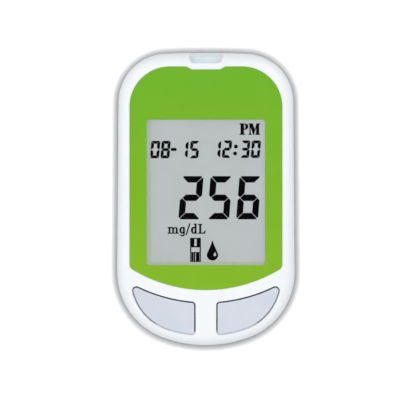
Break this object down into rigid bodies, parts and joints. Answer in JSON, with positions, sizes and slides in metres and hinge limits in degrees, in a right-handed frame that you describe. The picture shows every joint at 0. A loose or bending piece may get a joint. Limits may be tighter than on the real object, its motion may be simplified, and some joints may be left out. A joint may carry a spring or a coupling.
{
  "type": "blood glucose meter",
  "caption": "Pocket blood glucose meter: rounded white case, green face with display window, two curved keys, strip port, sliding battery door.",
  "frame": {"origin": "centre of the meter's outline on the plane of the rest rails under its back", "axes": "+X to the meter's right, +Y towards the strip port, +Z out of the display"},
  "size_m": [0.0552, 0.091, 0.021],
  "materials": {
    "white_casing": "smooth satin moulding",
    "door_plastic": "smooth satin moulding",
    "green_panel": "printed, satin lacquer",
    "clear_lens": "polished clear",
    "foam_gasket": "fine closed-cell foam",
    "display_film": "anti-glare film",
    "display_glass": "polished",
    "display_frame": "moulded, fine texture",
    "elastomer": "striped conductive elastomer",
    "circuit_board": "solder mask",
    "chip_package": "moulded epoxy",
    "ceramic": "fired ceramic",
    "steel_can": "drawn can",
    "gold_pad": "flash gold",
    "key_plastic": "smooth satin moulding",
    "silicone": "moulded silicone",
    "carbon_pill": "conductive rubber",
    "port_plastic": "translucent moulding",
    "connector_plastic": "moulded",
    "spring_metal": "nickel plated",
    "cell_jacket": "printed steel can",
    "screw_steel": "zinc plated"
  },
  "bodies": {
    "case": {"front_case": "white_casing", "rear_case": "white_casing", "face_panel": "green_panel", "window_lens": "clear_lens", "display_gasket": "foam_gasket", "lcd_front_polarizer": "display_film", "lcd_rear_reflector": "display_film", "lcd_front_glass": "display_glass", "lcd_rear_glass": "display_glass", "lcd_frame": "display_frame", "zebra_connector": "elastomer", "main_board": "circuit_board", "microcontroller": "chip_package", "analog_front_end": "chip_package", "memory_chip": "chip_package", "crystal": "steel_can", "beeper": "chip_package", "supply_capacitor": "steel_can", "thermistor": "ceramic", "chip_capacitors": "ceramic", "chip_resistors": "chip_package", "right_dome": "silicone", "left_dome": "silicone", "keypad_mat": "silicone", "key_pads": "gold_pad", "strip_port_bezel": "port_plastic", "strip_connector_housing": "connector_plastic", "strip_contacts": "gold_pad", "battery_left": "cell_jacket", "battery_right": "cell_jacket", "positive_contact": "spring_metal", "negative_contact": "spring_metal", "bridge_contact": "spring_metal", "contact_springs": "spring_metal", "case_screws": "screw_steel", "board_screws": "screw_steel"},
    "left_key": {"left_button": "key_plastic", "left_contact_pill": "carbon_pill"},
    "right_key": {"right_button": "key_plastic", "right_contact_pill": "carbon_pill"},
    "door": {"battery_door": "door_plastic"}
  },
  "joints": [
    {"name": "left_key_press", "type": "slide", "parent": "case", "child": "left_key", "axis": [0, 0, -1], "range_m": [0, 0.0008], "stiffness_N_per_m": 1900, "deforming": ["left_dome"]},
    {"name": "right_key_press", "type": "slide", "parent": "case", "child": "right_key", "axis": [0, 0, -1], "range_m": [0, 0.0008], "stiffness_N_per_m": 1900, "deforming": ["right_dome"]},
    {"name": "battery_door_slide", "type": "slide", "parent": "case", "child": "door", "axis": [0, -1, 0], "range_m": [0, 0.0618]}
  ]
}
